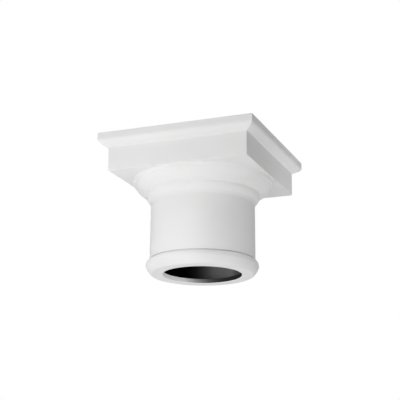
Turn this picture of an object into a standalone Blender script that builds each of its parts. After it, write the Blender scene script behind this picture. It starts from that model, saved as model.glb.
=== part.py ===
"""Doric capital: a hollow moulded cap for a round column, cast in one piece.

Metres, +Z up. The origin is the centre of the flat ring that sits on the column, and the sides of
the square abacus face along X and Y.
"""

import math

import bmesh
import bpy

# Square abacus, from the top down: a plain fillet, a rounded moulding and the plain block
FILLET_HEIGHT = 0.0109
MOULDING_HEIGHT = 0.0136
MOULDING_PROJECTION = 0.0155
MOULDING_SHOULDER = 0.52
BLOCK_HEIGHT = 0.0438
BLOCK_OVERHANG = 0.0023

# Turned part under the block: annulet, quirk, echinus, listel and the splay that runs into the neck
ANNULET_HEIGHT = 0.0070
ANNULET_FLARE = 0.0016
QUIRK_DEPTH = 0.0012
ECHINUS_HEIGHT = 0.0185
ECHINUS_PROJECTION = 0.0220
ECHINUS_FULLNESS = 0.38
LISTEL_HEIGHT = 0.0036
SPLAY_HEIGHT = 0.0145
SPLAY_PROJECTION = 0.0092
SPLAY_FULLNESS = 0.35
SPLAY_COVE = 0.0044

# Neck, nearly a plain cylinder; every width is built out from it
NECK_HEIGHT = 0.1055
NECK_TOP_RADIUS = 0.0965
NECK_SPREAD = 0.0006

# Rounded ring at the foot, with a fine groove over it and a flat seat under it
GROOVE_HEIGHT = 0.0011
GROOVE_DEPTH = 0.0012
RING_HEIGHT = 0.0252
RING_BELLY_HEIGHT = 0.0148
RING_PROJECTION = 0.0065
RING_TOP_FULLNESS = 0.80
RING_FOOT_FULLNESS = 0.35
SEAT_INSET = 0.0100

# Hollow inside: a short lip round the mouth, a bore up the neck and a chamber in the head
LIP_HEIGHT = 0.0082
LIP_PROJECTION = 0.0134
NECK_WALL = 0.0106
HEAD_WALL = 0.0255
TOP_THICKNESS = 0.0140

# How finely the curves are cut
TURN_STEPS = 72
CURVE_STEPS = 8
JOIN_DEPTH = 0.0100
CUT_MARGIN = 0.0050
MERGE_DISTANCE = 0.00001
SMOOTH_ANGLE = math.radians(28)

# Heights, stacked up from the seat
Z_NECK_FOOT = RING_HEIGHT + GROOVE_HEIGHT
Z_NECK_TOP = Z_NECK_FOOT + NECK_HEIGHT
Z_SPLAY_TOP = Z_NECK_TOP + SPLAY_HEIGHT
Z_LISTEL_TOP = Z_SPLAY_TOP + LISTEL_HEIGHT
Z_ECHINUS_TOP = Z_LISTEL_TOP + ECHINUS_HEIGHT
Z_SOFFIT = Z_ECHINUS_TOP + ANNULET_HEIGHT
Z_BLOCK_TOP = Z_SOFFIT + BLOCK_HEIGHT
Z_MOULDING_TOP = Z_BLOCK_TOP + MOULDING_HEIGHT
Z_TOP = Z_MOULDING_TOP + FILLET_HEIGHT

# Radii and half widths, stacked out from the neck
NECK_FOOT_RADIUS = NECK_TOP_RADIUS + NECK_SPREAD
RING_RADIUS = NECK_FOOT_RADIUS + RING_PROJECTION
SEAT_RADIUS = RING_RADIUS - SEAT_INSET
LISTEL_RADIUS = NECK_TOP_RADIUS + SPLAY_PROJECTION
ECHINUS_TOP_RADIUS = LISTEL_RADIUS + ECHINUS_PROJECTION
ANNULET_FOOT_RADIUS = ECHINUS_TOP_RADIUS + QUIRK_DEPTH
ANNULET_RADIUS = ANNULET_FOOT_RADIUS + ANNULET_FLARE
BLOCK_HALF = ANNULET_RADIUS + BLOCK_OVERHANG
ABACUS_HALF = BLOCK_HALF + MOULDING_PROJECTION
BORE_RADIUS = NECK_TOP_RADIUS - NECK_WALL
MOUTH_RADIUS = BORE_RADIUS - LIP_PROJECTION
CHAMBER_RADIUS = ANNULET_RADIUS - HEAD_WALL

PLASTIC_COLOUR = (0.86, 0.86, 0.855, 1.0)
PLASTIC_ROUGHNESS = 0.55


def curve(start, control, end):
    """Points of a quadratic curve that leaves start towards control and arrives at end, without start."""
    points = []
    for step in range(1, CURVE_STEPS + 1):
        along = step / CURVE_STEPS
        weights = ((1 - along) ** 2, 2 * along * (1 - along), along ** 2)
        x = sum(weight * point[0] for weight, point in zip(weights, (start, control, end)))
        z = sum(weight * point[1] for weight, point in zip(weights, (start, control, end)))
        points.append((x, z))
    return points


def swelling(start, corner, end, fullness):
    """Points of a curve from start to end that swells towards corner; 0 is straight and 0.85 is round."""
    control = [(a + b) / 2 * (1 - fullness) + c * fullness for a, b, c in zip(start, end, corner)]
    return curve(start, control, end)


def abacus_profile():
    """Half widths and heights of the square head, from the middle of its top to the middle of its soffit."""
    lip = (ABACUS_HALF, Z_MOULDING_TOP)
    shoulder = (ABACUS_HALF, Z_MOULDING_TOP - MOULDING_HEIGHT * MOULDING_SHOULDER)
    points = [(0, Z_TOP), (ABACUS_HALF, Z_TOP), lip]
    points += curve(lip, shoulder, (BLOCK_HALF, Z_BLOCK_TOP))
    points += [(BLOCK_HALF, Z_SOFFIT), (0, Z_SOFFIT)]
    return points


def turned_profile():
    """Radii and heights of the round part, from its root inside the block to the middle of its seat."""
    echinus_top = (ECHINUS_TOP_RADIUS, Z_ECHINUS_TOP)
    echinus_foot = (LISTEL_RADIUS, Z_LISTEL_TOP)
    splay_top = (LISTEL_RADIUS, Z_SPLAY_TOP)
    neck_top = (NECK_TOP_RADIUS, Z_NECK_TOP)
    cove_top = (NECK_TOP_RADIUS + SPLAY_PROJECTION * SPLAY_COVE / SPLAY_HEIGHT, Z_NECK_TOP + SPLAY_COVE)
    cove_foot = (NECK_TOP_RADIUS, Z_NECK_TOP - SPLAY_COVE)
    groove = (NECK_FOOT_RADIUS - GROOVE_DEPTH, RING_HEIGHT)
    belly = (RING_RADIUS, RING_BELLY_HEIGHT)
    seat = (SEAT_RADIUS, 0)
    z_root = Z_SOFFIT + JOIN_DEPTH
    points = [(0, z_root), (ANNULET_RADIUS, z_root), (ANNULET_RADIUS, Z_SOFFIT)]
    points += [(ANNULET_FOOT_RADIUS, Z_ECHINUS_TOP), echinus_top]
    points += swelling(echinus_top, (echinus_top[0], echinus_foot[1]), echinus_foot, ECHINUS_FULLNESS)
    points.append(splay_top)
    points += swelling(splay_top, (splay_top[0], cove_top[1]), cove_top, SPLAY_FULLNESS)
    points += curve(cove_top, neck_top, cove_foot)
    points += [(NECK_FOOT_RADIUS, Z_NECK_FOOT), (groove[0], Z_NECK_FOOT), groove]
    points += swelling(groove, (belly[0], groove[1]), belly, RING_TOP_FULLNESS)
    points += swelling(belly, (belly[0], seat[1]), seat, RING_FOOT_FULLNESS)
    points.append((0, 0))
    return points


def cavity_profile():
    """Radii and heights of the hollow, from the middle of its roof down and out through the mouth."""
    return [
        (0, Z_TOP - TOP_THICKNESS),
        (CHAMBER_RADIUS, Z_TOP - TOP_THICKNESS),
        (CHAMBER_RADIUS, Z_SOFFIT),
        (BORE_RADIUS, Z_NECK_TOP),
        (BORE_RADIUS, LIP_HEIGHT),
        (MOUTH_RADIUS, LIP_HEIGHT),
        (MOUTH_RADIUS, -CUT_MARGIN),
        (0, -CUT_MARGIN),
    ]


def revolve(name, profile, steps, collection):
    """An object whose profile a Screw modifier turns about Z; four steps give a square."""
    mesh = bpy.data.meshes.new(name)
    shape = bmesh.new()
    verts = [shape.verts.new((radius, 0, height)) for radius, height in profile]
    for upper, lower in zip(verts, verts[1:]):
        shape.edges.new((upper, lower))
    shape.to_mesh(mesh)
    shape.free()
    piece = bpy.data.objects.new(name, mesh)
    collection.objects.link(piece)
    turn = piece.modifiers.new("turn", "SCREW")
    turn.axis = "Z"
    turn.steps = steps
    turn.render_steps = steps
    turn.use_merge_vertices = True
    turn.merge_threshold = MERGE_DISTANCE
    turn.use_smooth_shade = False
    return piece


def mark_as_cutter(piece):
    """A tool of the Boolean modifiers, not a part of the object."""
    piece.hide_render = True
    piece.display_type = "WIRE"


def combine(piece, other, operation):
    """Joins other to piece, or cuts it away."""
    step = piece.modifiers.new(other.name, "BOOLEAN")
    step.operation = operation
    step.solver = "EXACT"
    step.object = other


def make_abacus(cutters):
    """The square head, turned in four steps; its corners lie on the turning circle, so root 2 comes in."""
    corners = [(half * math.sqrt(2), height) for half, height in abacus_profile()]
    abacus = revolve("abacus_form", corners, 4, cutters)
    abacus.rotation_euler.z = math.radians(45)
    mark_as_cutter(abacus)
    return abacus


def make_cavity(cutters):
    """The hollow inside, open only at the mouth."""
    cavity = revolve("cavity_form", cavity_profile(), TURN_STEPS, cutters)
    mark_as_cutter(cavity)
    return cavity


def make_material():
    """White moulded plastic with a matt skin."""
    material = bpy.data.materials.new("moulding")
    material.use_nodes = True
    shader = material.node_tree.nodes["Principled BSDF"]
    shader.inputs["Base Color"].default_value = PLASTIC_COLOUR
    shader.inputs["Roughness"].default_value = PLASTIC_ROUGHNESS
    shader.inputs["Metallic"].default_value = 0.0
    return material


def make_capital(parts, cutters):
    """The whole capital: the turned part, joined to the abacus and hollowed."""
    capital = revolve("capital", turned_profile(), TURN_STEPS, parts)
    combine(capital, make_abacus(cutters), "UNION")
    combine(capital, make_cavity(cutters), "DIFFERENCE")
    capital.data.materials.append(make_material())
    return capital


def shade_round(piece, collection):
    """Applies the modifiers and shades the round faces smooth, with their sharp edges kept."""
    evaluated = piece.evaluated_get(bpy.context.evaluated_depsgraph_get())
    mesh = bpy.data.meshes.new_from_object(evaluated)
    mesh.shade_smooth()
    mesh.set_sharp_from_angle(angle=SMOOTH_ANGLE)
    name = piece.name
    bpy.data.objects.remove(piece)
    finished = bpy.data.objects.new(name, mesh)
    collection.objects.link(finished)
    return finished


def new_collection(name):
    collection = bpy.data.collections.new(name)
    bpy.context.scene.collection.children.link(collection)
    return collection


def main():
    for old in list(bpy.data.objects):
        bpy.data.objects.remove(old)
    parts = new_collection("doric_capital")
    cutters = new_collection("cutters")
    capital = make_capital(parts, cutters)
    shade_round(capital, parts)


main()
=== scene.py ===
"""The looks of a doric capital: a white moulded cap for a round column, seen from below.

Metres, +Z up, in the frame of the solid model. The turned and square forms are drawn again here from the
same named sizes, finer and with softened edges, and stand for the solid model's one node.
"""

import math

import bmesh
import bpy
from mathutils import Matrix, Vector


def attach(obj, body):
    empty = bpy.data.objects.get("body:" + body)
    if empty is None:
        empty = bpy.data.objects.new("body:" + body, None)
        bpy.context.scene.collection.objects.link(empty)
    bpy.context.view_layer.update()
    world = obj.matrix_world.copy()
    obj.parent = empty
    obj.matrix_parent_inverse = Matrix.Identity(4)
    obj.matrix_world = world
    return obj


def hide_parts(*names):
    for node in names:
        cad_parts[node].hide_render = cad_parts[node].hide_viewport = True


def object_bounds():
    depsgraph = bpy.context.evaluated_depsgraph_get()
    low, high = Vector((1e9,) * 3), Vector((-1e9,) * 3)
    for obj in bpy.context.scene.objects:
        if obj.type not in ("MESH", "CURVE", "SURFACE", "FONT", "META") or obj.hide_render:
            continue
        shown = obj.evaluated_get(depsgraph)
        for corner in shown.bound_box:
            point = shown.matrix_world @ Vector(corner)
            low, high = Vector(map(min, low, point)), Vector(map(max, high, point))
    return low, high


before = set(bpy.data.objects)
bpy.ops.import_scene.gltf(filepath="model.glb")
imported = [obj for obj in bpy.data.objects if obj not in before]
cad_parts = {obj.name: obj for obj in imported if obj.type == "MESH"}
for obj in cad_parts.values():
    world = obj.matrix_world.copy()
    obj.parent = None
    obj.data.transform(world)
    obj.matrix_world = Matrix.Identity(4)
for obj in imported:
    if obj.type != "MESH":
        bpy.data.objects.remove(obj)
cad_low, cad_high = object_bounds()

# Square abacus, from the top down: a plain fillet, a rounded moulding and the plain block
FILLET_HEIGHT = 0.0109
MOULDING_HEIGHT = 0.0136
MOULDING_PROJECTION = 0.0155
MOULDING_SHOULDER = 0.52
BLOCK_HEIGHT = 0.0438
BLOCK_OVERHANG = 0.0023

# Turned part under the block: annulet, quirk, echinus, listel and the splay that runs into the neck
ANNULET_HEIGHT = 0.0070
ANNULET_FLARE = 0.0016
QUIRK_DEPTH = 0.0012
ECHINUS_HEIGHT = 0.0185
ECHINUS_PROJECTION = 0.0220
ECHINUS_FULLNESS = 0.38
LISTEL_HEIGHT = 0.0036
SPLAY_HEIGHT = 0.0145
SPLAY_PROJECTION = 0.0092
SPLAY_FULLNESS = 0.35
SPLAY_COVE = 0.0044

# Neck, and the ring at its foot with a groove over it and a flat seat under it
NECK_TOP_RADIUS = 0.0965
NECK_SPREAD = 0.0006
GROOVE_HEIGHT = 0.0011
GROOVE_DEPTH = 0.0012
RING_HEIGHT = 0.0252
RING_BELLY_HEIGHT = 0.0148
RING_PROJECTION = 0.0065
RING_TOP_FULLNESS = 0.80
RING_FOOT_FULLNESS = 0.35
SEAT_INSET = 0.0100

# Hollow inside: a short lip round the mouth, a bore up the neck and a chamber in the head
LIP_HEIGHT = 0.0082
LIP_PROJECTION = 0.0134
NECK_WALL = 0.0106
HEAD_WALL = 0.0255
TOP_THICKNESS = 0.0140

# Heights, down from the top of the solid model
Z_TOP = cad_high.z
Z_MOULDING_TOP = Z_TOP - FILLET_HEIGHT
Z_BLOCK_TOP = Z_MOULDING_TOP - MOULDING_HEIGHT
Z_SOFFIT = Z_BLOCK_TOP - BLOCK_HEIGHT
Z_ECHINUS_TOP = Z_SOFFIT - ANNULET_HEIGHT
Z_LISTEL_TOP = Z_ECHINUS_TOP - ECHINUS_HEIGHT
Z_SPLAY_TOP = Z_LISTEL_TOP - LISTEL_HEIGHT
Z_NECK_TOP = Z_SPLAY_TOP - SPLAY_HEIGHT
Z_ROOF = Z_TOP - TOP_THICKNESS

# Height up from the seat
Z_NECK_FOOT = RING_HEIGHT + GROOVE_HEIGHT

# Radii and half widths, stacked out from the neck
NECK_FOOT_RADIUS = NECK_TOP_RADIUS + NECK_SPREAD
RING_RADIUS = NECK_FOOT_RADIUS + RING_PROJECTION
SEAT_RADIUS = RING_RADIUS - SEAT_INSET
LISTEL_RADIUS = NECK_TOP_RADIUS + SPLAY_PROJECTION
ECHINUS_TOP_RADIUS = LISTEL_RADIUS + ECHINUS_PROJECTION
ANNULET_FOOT_RADIUS = ECHINUS_TOP_RADIUS + QUIRK_DEPTH
ANNULET_RADIUS = ANNULET_FOOT_RADIUS + ANNULET_FLARE
BLOCK_HALF = ANNULET_RADIUS + BLOCK_OVERHANG
ABACUS_HALF = BLOCK_HALF + MOULDING_PROJECTION
BORE_RADIUS = NECK_TOP_RADIUS - NECK_WALL
MOUTH_RADIUS = BORE_RADIUS - LIP_PROJECTION
CHAMBER_RADIUS = ANNULET_RADIUS - HEAD_WALL

# Fineness of the visible mesh, and the softening of its edges
TURN_STEPS = 192
CURVE_STEPS = 20
ARRIS_RADIUS = 0.0007
ARRIS_SHARE = 0.45
ARRIS_STEPS = 4
JOIN_DEPTH = 0.0100
CUT_MARGIN = 0.0050
MERGE_DISTANCE = 0.00001
SMOOTH_ANGLE = math.radians(32)
CORNER_ANGLE = math.radians(24)

# Material slots of the mesh, and how its faces are sorted into them
PRIMED_SLOT = 0
LIP_SLOT = 1
HOLLOW_SLOT = 2
LEVEL_NORMAL = 0.9
ROOF_SLACK = 0.0005

# White primer
PRIMER_DULLEST = (0.845, 0.845, 0.842, 1)
PRIMER_WHITEST = (0.875, 0.875, 0.872, 1)
PRIMER_SMOOTHEST = 0.50
PRIMER_ROUGHEST = 0.60
PRIMER_SPECULAR = 0.35

# Bare casting inside the lip and the hollow, whose colour is painted light and shade
CASTING_SMOOTHEST = 0.80
CASTING_ROUGHEST = 0.90
CASTING_SPECULAR = 0.03

# Painted light and shade on the lip and in the hollow, as tone from the left (0) to the right (1) of the
# bore
# The lip's wall: painted light at the left, fading to painted shade towards the right
LIP_PAINTED_SHADING = [(0.16, 0.92), (0.20, 0.88), (0.25, 0.66), (0.31, 0.43), (0.37, 0.26), (0.43, 0.13)]
LIP_PAINTED_SHADING += [(0.49, 0.085), (0.57, 0.052), (0.64, 0.040), (0.80, 0.032)]
# The hollow: painted shade, black at the left, and painted light, grey towards the right where light reaches
# in
HOLLOW_PAINTED_SHADING = [(0.17, 0.0), (0.22, 0.006), (0.28, 0.022), (0.34, 0.068), (0.40, 0.152), (0.46, 0.280)]
HOLLOW_PAINTED_SHADING += [(0.53, 0.345), (0.60, 0.370), (0.68, 0.440), (0.75, 0.270), (0.90, 0.25)]
RAGGEDNESS = 0.05

# Noise patterns: scale and detail
CLOUDS = (9.0, 4.0)
GLOSS_PATCHES = (60.0, 3.0)
UNEVENNESS = (14.0, 1.0)
ORANGE_PEEL = (900.0, 2.0)
RAGGED_EDGE = (30.0, 3.0)
CASTING_GRAIN = (80.0, 3.0)
FLOOR_CLOUDS = (1.5, 3.0)
PIT_SCALE = 420.0

# The part of a noise pattern's range over which a mottled value goes from its lowest to its highest
NOISE_LOW = 0.30
NOISE_HIGH = 0.70

# Bumps: height in metres and strength
UNEVENNESS_BUMP = (0.0006, 0.10)
ORANGE_PEEL_BUMP = (0.00004, 0.25)
PIT_BUMP = (0.0003, 0.4)

# Camera: a long lens from below, in front and to the right
CAMERA_AZIMUTH = math.radians(21.81)
CAMERA_ELEVATION = math.radians(-16.31)
CAMERA_ROLL = math.radians(0.55)
CAMERA_DISTANCE = 2.0486
CAMERA_TARGET = Vector((-0.0052, -0.0021, 0.1428))
CAMERA_RANGE = 100
LENS_MM = 99.0
SENSOR_MM = 36.0

# Floor, well below the capital
FLOOR_Z = -1.6
FLOOR_RADIUS = 40.0
FLOOR_SIDES = 96
FLOOR_DARKEST = 0.86
FLOOR_LIGHTEST = 0.89
FLOOR_ROUGHNESS = 0.8

# Light of the surroundings: dim all round, and bright over the part of the sky that is straight overhead
SIDE_LIGHT = 0.10
OVERHEAD_LIGHT = 1.5
OVERHEAD_START = 0.75
OVERHEAD_FULL = 0.90

# Round soft lamps: azimuth and elevation in degrees, distance and size in metres, power in watts
LAMPS = {
    "front_level": (0, 0, 1.5, 1.2, 5.63),
    "front_high": (0, 35, 1.5, 1.2, 1.60),
    "front_close": (0, -30, 0.45, 0.3, 0.30),
    "left_high": (-90, 30, 0.75, 0.5, 0.75),
    "left_close": (-40, -15, 0.45, 0.12, 0.227),
    "left_low": (-95, -35, 0.32, 0.12, 0.091),
    "right_low": (90, -30, 0.75, 0.5, 0.79),
    "right_close": (115, 5, 0.30, 0.12, 0.039),
    "foot_under": (0, -90, 0.26, 0.15, 0.050),
    "back_high": (200, 30, 1.5, 1.2, 5.5),
}


def curve(start, control, end):
    """Points of a quadratic curve that leaves start towards control and arrives at end, without start."""
    points = []
    for step in range(1, CURVE_STEPS + 1):
        along = step / CURVE_STEPS
        weights = ((1 - along) ** 2, 2 * along * (1 - along), along ** 2)
        x = sum(weight * point[0] for weight, point in zip(weights, (start, control, end)))
        z = sum(weight * point[1] for weight, point in zip(weights, (start, control, end)))
        points.append((x, z))
    return points


def swelling(start, corner, end, fullness):
    """Points of a curve from start to end that swells towards corner; 0 is straight and 0.85 is round."""
    control = [(a + b) / 2 * (1 - fullness) + c * fullness for a, b, c in zip(start, end, corner)]
    return curve(start, control, end)


def softened(points):
    """The outline with each sharp corner turned into a small curve."""
    result = [points[0]]
    for before, here, after in zip(points, points[1:], points[2:]):
        corner = Vector(here)
        back = Vector(before) - corner
        on = Vector(after) - corner
        turn = math.pi - back.angle(on)
        if turn < CORNER_ANGLE:
            result.append(here)
            continue
        reach = min(ARRIS_RADIUS, back.length * ARRIS_SHARE, on.length * ARRIS_SHARE)
        start = corner + back.normalized() * reach
        end = corner + on.normalized() * reach
        for step in range(ARRIS_STEPS + 1):
            along = step / ARRIS_STEPS
            point = start * (1 - along) ** 2 + corner * 2 * along * (1 - along) + end * along ** 2
            result.append(tuple(point))
    result.append(points[-1])
    return result


def abacus_profile():
    """Half widths and heights of the square head, from the middle of its top to the middle of its soffit."""
    lip = (ABACUS_HALF, Z_MOULDING_TOP)
    shoulder = (ABACUS_HALF, Z_MOULDING_TOP - MOULDING_HEIGHT * MOULDING_SHOULDER)
    points = [(0, Z_TOP), (ABACUS_HALF, Z_TOP), lip]
    points += curve(lip, shoulder, (BLOCK_HALF, Z_BLOCK_TOP))
    points += [(BLOCK_HALF, Z_SOFFIT), (0, Z_SOFFIT)]
    return points


def turned_profile():
    """Radii and heights of the round part, from its root inside the block to the middle of its seat."""
    echinus_top = (ECHINUS_TOP_RADIUS, Z_ECHINUS_TOP)
    echinus_foot = (LISTEL_RADIUS, Z_LISTEL_TOP)
    splay_top = (LISTEL_RADIUS, Z_SPLAY_TOP)
    neck_top = (NECK_TOP_RADIUS, Z_NECK_TOP)
    cove_top = (NECK_TOP_RADIUS + SPLAY_PROJECTION * SPLAY_COVE / SPLAY_HEIGHT, Z_NECK_TOP + SPLAY_COVE)
    cove_foot = (NECK_TOP_RADIUS, Z_NECK_TOP - SPLAY_COVE)
    groove = (NECK_FOOT_RADIUS - GROOVE_DEPTH, RING_HEIGHT)
    belly = (RING_RADIUS, RING_BELLY_HEIGHT)
    seat = (SEAT_RADIUS, 0)
    z_root = Z_SOFFIT + JOIN_DEPTH
    points = [(0, z_root), (ANNULET_RADIUS, z_root), (ANNULET_RADIUS, Z_SOFFIT)]
    points += [(ANNULET_FOOT_RADIUS, Z_ECHINUS_TOP), echinus_top]
    points += swelling(echinus_top, (echinus_top[0], echinus_foot[1]), echinus_foot, ECHINUS_FULLNESS)
    points.append(splay_top)
    points += swelling(splay_top, (splay_top[0], cove_top[1]), cove_top, SPLAY_FULLNESS)
    points += curve(cove_top, neck_top, cove_foot)
    points += [(NECK_FOOT_RADIUS, Z_NECK_FOOT), (groove[0], Z_NECK_FOOT), groove]
    points += swelling(groove, (belly[0], groove[1]), belly, RING_TOP_FULLNESS)
    points += swelling(belly, (belly[0], seat[1]), seat, RING_FOOT_FULLNESS)
    points.append((0, 0))
    return points


def cavity_profile():
    """Radii and heights of the hollow, from the middle of its roof down and out through the eased mouth."""
    return [
        (0, Z_ROOF),
        (CHAMBER_RADIUS, Z_ROOF),
        (CHAMBER_RADIUS, Z_SOFFIT),
        (BORE_RADIUS, Z_NECK_TOP),
        (BORE_RADIUS, LIP_HEIGHT),
        (MOUTH_RADIUS, LIP_HEIGHT),
        (MOUTH_RADIUS, ARRIS_RADIUS),
        (MOUTH_RADIUS + ARRIS_RADIUS + CUT_MARGIN, -CUT_MARGIN),
        (0, -CUT_MARGIN),
    ]


def revolve(name, profile, steps):
    """An object whose profile a Screw modifier turns about Z; four steps give a square."""
    mesh = bpy.data.meshes.new(name)
    shape = bmesh.new()
    verts = [shape.verts.new((radius, 0, height)) for radius, height in profile]
    for upper, lower in zip(verts, verts[1:]):
        shape.edges.new((upper, lower))
    shape.to_mesh(mesh)
    shape.free()
    piece = bpy.data.objects.new(name, mesh)
    bpy.context.scene.collection.objects.link(piece)
    turn = piece.modifiers.new("turn", "SCREW")
    turn.axis = "Z"
    turn.steps = steps
    turn.render_steps = steps
    turn.use_merge_vertices = True
    turn.merge_threshold = MERGE_DISTANCE
    turn.use_smooth_shade = False
    return piece


def baked(piece):
    """The piece as a plain mesh object, with its modifiers applied."""
    evaluated = piece.evaluated_get(bpy.context.evaluated_depsgraph_get())
    mesh = bpy.data.meshes.new_from_object(evaluated)
    matrix = piece.matrix_world.copy()
    name = piece.name
    bpy.data.objects.remove(piece)
    finished = bpy.data.objects.new(name, mesh)
    bpy.context.scene.collection.objects.link(finished)
    mesh.transform(matrix)
    return finished


def make_abacus():
    """The square head, turned in four steps, with its edges eased; its corners lie on the turning circle."""
    corners = [(half * math.sqrt(2), height) for half, height in abacus_profile()]
    abacus = revolve("abacus_form", corners, 4)
    abacus.rotation_euler.z = math.radians(45)
    ease = abacus.modifiers.new("ease", "BEVEL")
    ease.width = ARRIS_RADIUS
    ease.segments = ARRIS_STEPS
    ease.limit_method = "ANGLE"
    ease.angle_limit = CORNER_ANGLE
    bpy.context.view_layer.update()
    return baked(abacus)


def combine(piece, other, operation):
    """Joins other to piece, or cuts it away, and removes other."""
    step = piece.modifiers.new(other.name, "BOOLEAN")
    step.operation = operation
    step.solver = "EXACT"
    step.object = other
    finished = baked(piece)
    bpy.data.objects.remove(other)
    return finished


def clean(piece):
    """Merges points that the cuts left on top of each other, and drops the slivers between them."""
    shape = bmesh.new()
    shape.from_mesh(piece.data)
    bmesh.ops.remove_doubles(shape, verts=shape.verts, dist=MERGE_DISTANCE)
    bmesh.ops.dissolve_degenerate(shape, edges=shape.edges, dist=MERGE_DISTANCE)
    shape.to_mesh(piece.data)
    shape.free()


def grey(value):
    return (value, value, value, 1)


def new_material(name):
    """A new node material, with its tree and its shader."""
    material = bpy.data.materials.new(name)
    material.use_nodes = True
    return material, material.node_tree, material.node_tree.nodes["Principled BSDF"]


def object_coords(tree):
    return tree.nodes.new("ShaderNodeTexCoord").outputs["Object"]


def noise(tree, coords, pattern):
    """A noise pattern over coords; pattern is (scale, detail)."""
    scale, detail = pattern
    node = tree.nodes.new("ShaderNodeTexNoise")
    node.inputs["Scale"].default_value = scale
    node.inputs["Detail"].default_value = detail
    tree.links.new(coords, node.inputs["Vector"])
    return node.outputs["Fac"]


def ramp(tree, value, stops):
    """A colour ramp over value; stops are (position, colour)."""
    node = tree.nodes.new("ShaderNodeValToRGB")
    elements = node.color_ramp.elements
    while len(elements) > 1:
        elements.remove(elements[-1])
    elements[0].position = stops[0][0]
    elements[0].color = stops[0][1]
    for position, colour in stops[1:]:
        elements.new(position).color = colour
    tree.links.new(value, node.inputs["Fac"])
    return node.outputs["Color"]


def mottled(tree, coords, pattern, lowest, highest):
    """A colour that drifts between lowest and highest with a noise pattern."""
    return ramp(tree, noise(tree, coords, pattern), [(NOISE_LOW, lowest), (NOISE_HIGH, highest)])


def bump(tree, height, size, normal=None):
    """The normal after a bump, laid over an earlier one if there is one; size is (metres, strength)."""
    distance, strength = size
    node = tree.nodes.new("ShaderNodeBump")
    node.inputs["Distance"].default_value = distance
    node.inputs["Strength"].default_value = strength
    tree.links.new(height, node.inputs["Height"])
    if normal:
        tree.links.new(normal, node.inputs["Normal"])
    return node.outputs["Normal"]


def make_primed_white():
    """Matt white primer on a smooth casting: faint clouding, a fine orange peel and a slow unevenness."""
    material, tree, shader = new_material("primed_white")
    coords = object_coords(tree)
    colour = mottled(tree, coords, CLOUDS, PRIMER_DULLEST, PRIMER_WHITEST)
    gloss = mottled(tree, coords, GLOSS_PATCHES, grey(PRIMER_SMOOTHEST), grey(PRIMER_ROUGHEST))
    uneven = bump(tree, noise(tree, coords, UNEVENNESS), UNEVENNESS_BUMP)
    peel = bump(tree, noise(tree, coords, ORANGE_PEEL), ORANGE_PEEL_BUMP, uneven)
    tree.links.new(colour, shader.inputs["Base Color"])
    tree.links.new(gloss, shader.inputs["Roughness"])
    tree.links.new(peel, shader.inputs["Normal"])
    shader.inputs["Specular IOR Level"].default_value = PRIMER_SPECULAR
    return material


def across(tree, coords):
    """Where a point lies from the left (0) to the right (1) of the bore, with a ragged edge."""
    split = tree.nodes.new("ShaderNodeSeparateXYZ")
    tree.links.new(coords, split.inputs["Vector"])
    place = tree.nodes.new("ShaderNodeMapRange")
    place.inputs["From Min"].default_value = -BORE_RADIUS
    place.inputs["From Max"].default_value = BORE_RADIUS
    tree.links.new(split.outputs["X"], place.inputs["Value"])
    ragged = tree.nodes.new("ShaderNodeMath")
    ragged.operation = "MULTIPLY_ADD"
    ragged.inputs[1].default_value = RAGGEDNESS
    tree.links.new(noise(tree, coords, RAGGED_EDGE), ragged.inputs[0])
    tree.links.new(place.outputs["Result"], ragged.inputs[2])
    return ragged.outputs["Value"]


def make_painted_casting(name, tones):
    """Rough bare casting whose colour is painted light and shade, lighter at one side of the bore than at
    the other.
    """
    material, tree, shader = new_material(name)
    coords = object_coords(tree)
    # Painted light and shade: a tone ramp across the bore from left to right
    colour = ramp(tree, across(tree, coords), [(place, grey(tone)) for place, tone in tones])
    cells = tree.nodes.new("ShaderNodeTexVoronoi")
    cells.inputs["Scale"].default_value = PIT_SCALE
    tree.links.new(coords, cells.inputs["Vector"])
    pits = bump(tree, cells.outputs["Distance"], PIT_BUMP)
    rough = mottled(tree, coords, CASTING_GRAIN, grey(CASTING_SMOOTHEST), grey(CASTING_ROUGHEST))
    tree.links.new(colour, shader.inputs["Base Color"])
    tree.links.new(rough, shader.inputs["Roughness"])
    tree.links.new(pits, shader.inputs["Normal"])
    shader.inputs["Specular IOR Level"].default_value = CASTING_SPECULAR
    return material


def slot_of(face):
    """The material slot of a face: primed outside, or else on the wall of the lip or in the hollow above it.

    The level faces that meet in the groove over the ring count with the hollow's, so that its line is dark:
    shade painted into the groove in the hollow's tones.
    """
    middle = face.center
    radius = math.hypot(middle.x, middle.y)
    facing_in = middle.x * face.normal.x + middle.y * face.normal.y < 0
    if middle.z > LIP_HEIGHT - ARRIS_RADIUS and radius < CHAMBER_RADIUS + ARRIS_RADIUS:
        # Level faces take the hollow's painted shading; over the ring this paints shade into the groove and
        # onto the ring's top beside it
        level = abs(face.normal.z) > LEVEL_NORMAL and middle.z < Z_ROOF + ROOF_SLACK
        return HOLLOW_SLOT if facing_in or level else PRIMED_SLOT
    lip_wall = radius < MOUTH_RADIUS + ARRIS_RADIUS and middle.z > ARRIS_RADIUS / 2
    return LIP_SLOT if lip_wall and facing_in else PRIMED_SLOT


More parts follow.
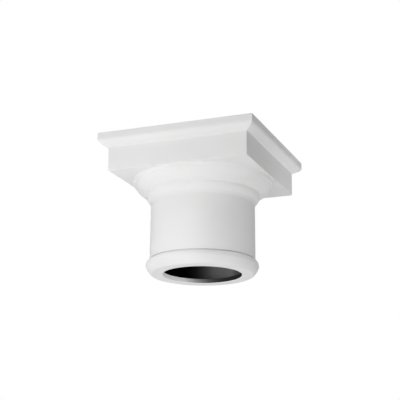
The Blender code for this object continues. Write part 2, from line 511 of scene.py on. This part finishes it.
def make_capital():
    """The finely modelled capital: one closed mesh, white outside and bare casting with painted light and
    shade inside.
    """
    capital = revolve("capital_moulding", softened(turned_profile()), TURN_STEPS)
    capital = combine(baked(capital), make_abacus(), "UNION")
    capital = combine(capital, revolve("cavity_form", cavity_profile(), TURN_STEPS), "DIFFERENCE")
    clean(capital)
    mesh = capital.data
    mesh.materials.clear()
    mesh.materials.append(make_primed_white())
    mesh.materials.append(make_painted_casting("lip_painted_shading", LIP_PAINTED_SHADING))
    mesh.materials.append(make_painted_casting("hollow_painted_shading", HOLLOW_PAINTED_SHADING))
    for face in mesh.polygons:
        face.material_index = slot_of(face)
    mesh.shade_smooth()
    mesh.set_sharp_from_angle(angle=SMOOTH_ANGLE)
    weight = capital.modifiers.new("weight", "WEIGHTED_NORMAL")
    weight.keep_sharp = True
    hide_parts("capital")
    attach(capital, "root")


def direction(azimuth, elevation):
    """A unit vector from the object; azimuth 0 is straight in front, and 90 degrees is to the right."""
    flat = math.cos(elevation)
    return Vector((math.sin(azimuth) * flat, -math.cos(azimuth) * flat, math.sin(elevation)))


def make_camera():
    """The camera, aimed at its target and rolled a little about its own axis."""
    data = bpy.data.cameras.new("camera")
    data.lens = LENS_MM
    data.sensor_width = SENSOR_MM
    data.clip_end = CAMERA_RANGE
    camera = bpy.data.objects.new("camera", data)
    bpy.context.scene.collection.objects.link(camera)
    back = direction(CAMERA_AZIMUTH, CAMERA_ELEVATION)
    turned = (-back).to_track_quat("-Z", "Y").to_matrix().to_4x4() @ Matrix.Rotation(CAMERA_ROLL, 4, "Z")
    camera.matrix_world = Matrix.Translation(CAMERA_TARGET + back * CAMERA_DISTANCE) @ turned
    bpy.context.scene.camera = camera


def make_lamps():
    """The soft lamps, which light the capital and aren't seen themselves."""
    for name, (azimuth, elevation, distance, size, power) in LAMPS.items():
        data = bpy.data.lights.new(name, "AREA")
        data.shape = "DISK"
        data.size = size
        data.energy = power
        lamp = bpy.data.objects.new(name, data)
        bpy.context.scene.collection.objects.link(lamp)
        lamp.visible_camera = False
        towards = direction(math.radians(azimuth), math.radians(elevation))
        lamp.location = CAMERA_TARGET + towards * distance
        lamp.rotation_mode = "QUATERNION"
        lamp.rotation_quaternion = towards.to_track_quat("Z", "Y")


def make_world():
    """Plain white behind the capital; as a light, bright straight overhead and dim all round."""
    world = bpy.data.worlds.new("studio")
    bpy.context.scene.world = world
    world.use_nodes = True
    tree = world.node_tree
    light = tree.nodes["Background"]
    light.inputs["Color"].default_value = grey(1)
    towards = tree.nodes.new("ShaderNodeTexCoord")
    split = tree.nodes.new("ShaderNodeSeparateXYZ")
    strength = tree.nodes.new("ShaderNodeMapRange")
    strength.interpolation_type = "SMOOTHSTEP"
    strength.inputs["From Min"].default_value = OVERHEAD_START
    strength.inputs["From Max"].default_value = OVERHEAD_FULL
    strength.inputs["To Min"].default_value = SIDE_LIGHT
    strength.inputs["To Max"].default_value = OVERHEAD_LIGHT
    tree.links.new(towards.outputs["Generated"], split.inputs["Vector"])
    tree.links.new(split.outputs["Z"], strength.inputs["Value"])
    tree.links.new(strength.outputs["Result"], light.inputs["Strength"])
    white = tree.nodes.new("ShaderNodeBackground")
    white.inputs["Color"].default_value = grey(1)
    choose = tree.nodes.new("ShaderNodeMixShader")
    path = tree.nodes.new("ShaderNodeLightPath")
    tree.links.new(path.outputs["Is Camera Ray"], choose.inputs["Fac"])
    tree.links.new(light.outputs["Background"], choose.inputs[1])
    tree.links.new(white.outputs["Background"], choose.inputs[2])
    tree.links.new(choose.outputs["Shader"], tree.nodes["World Output"].inputs["Surface"])


def make_floor():
    """A plain pale floor, well below the capital, which hangs clear of it."""
    bpy.ops.mesh.primitive_circle_add(vertices=FLOOR_SIDES, radius=FLOOR_RADIUS, fill_type="NGON")
    floor = bpy.context.object
    floor.name = "floor"
    floor.location.z = FLOOR_Z
    material, tree, shader = new_material("floor_paint")
    coords = object_coords(tree)
    colour = mottled(tree, coords, FLOOR_CLOUDS, grey(FLOOR_DARKEST), grey(FLOOR_LIGHTEST))
    tree.links.new(colour, shader.inputs["Base Color"])
    shader.inputs["Roughness"].default_value = FLOOR_ROUGHNESS
    floor.data.materials.append(material)


bpy.context.scene.view_settings.view_transform = "Standard"
make_camera()
make_world()
make_lamps()
make_floor()
make_capital()
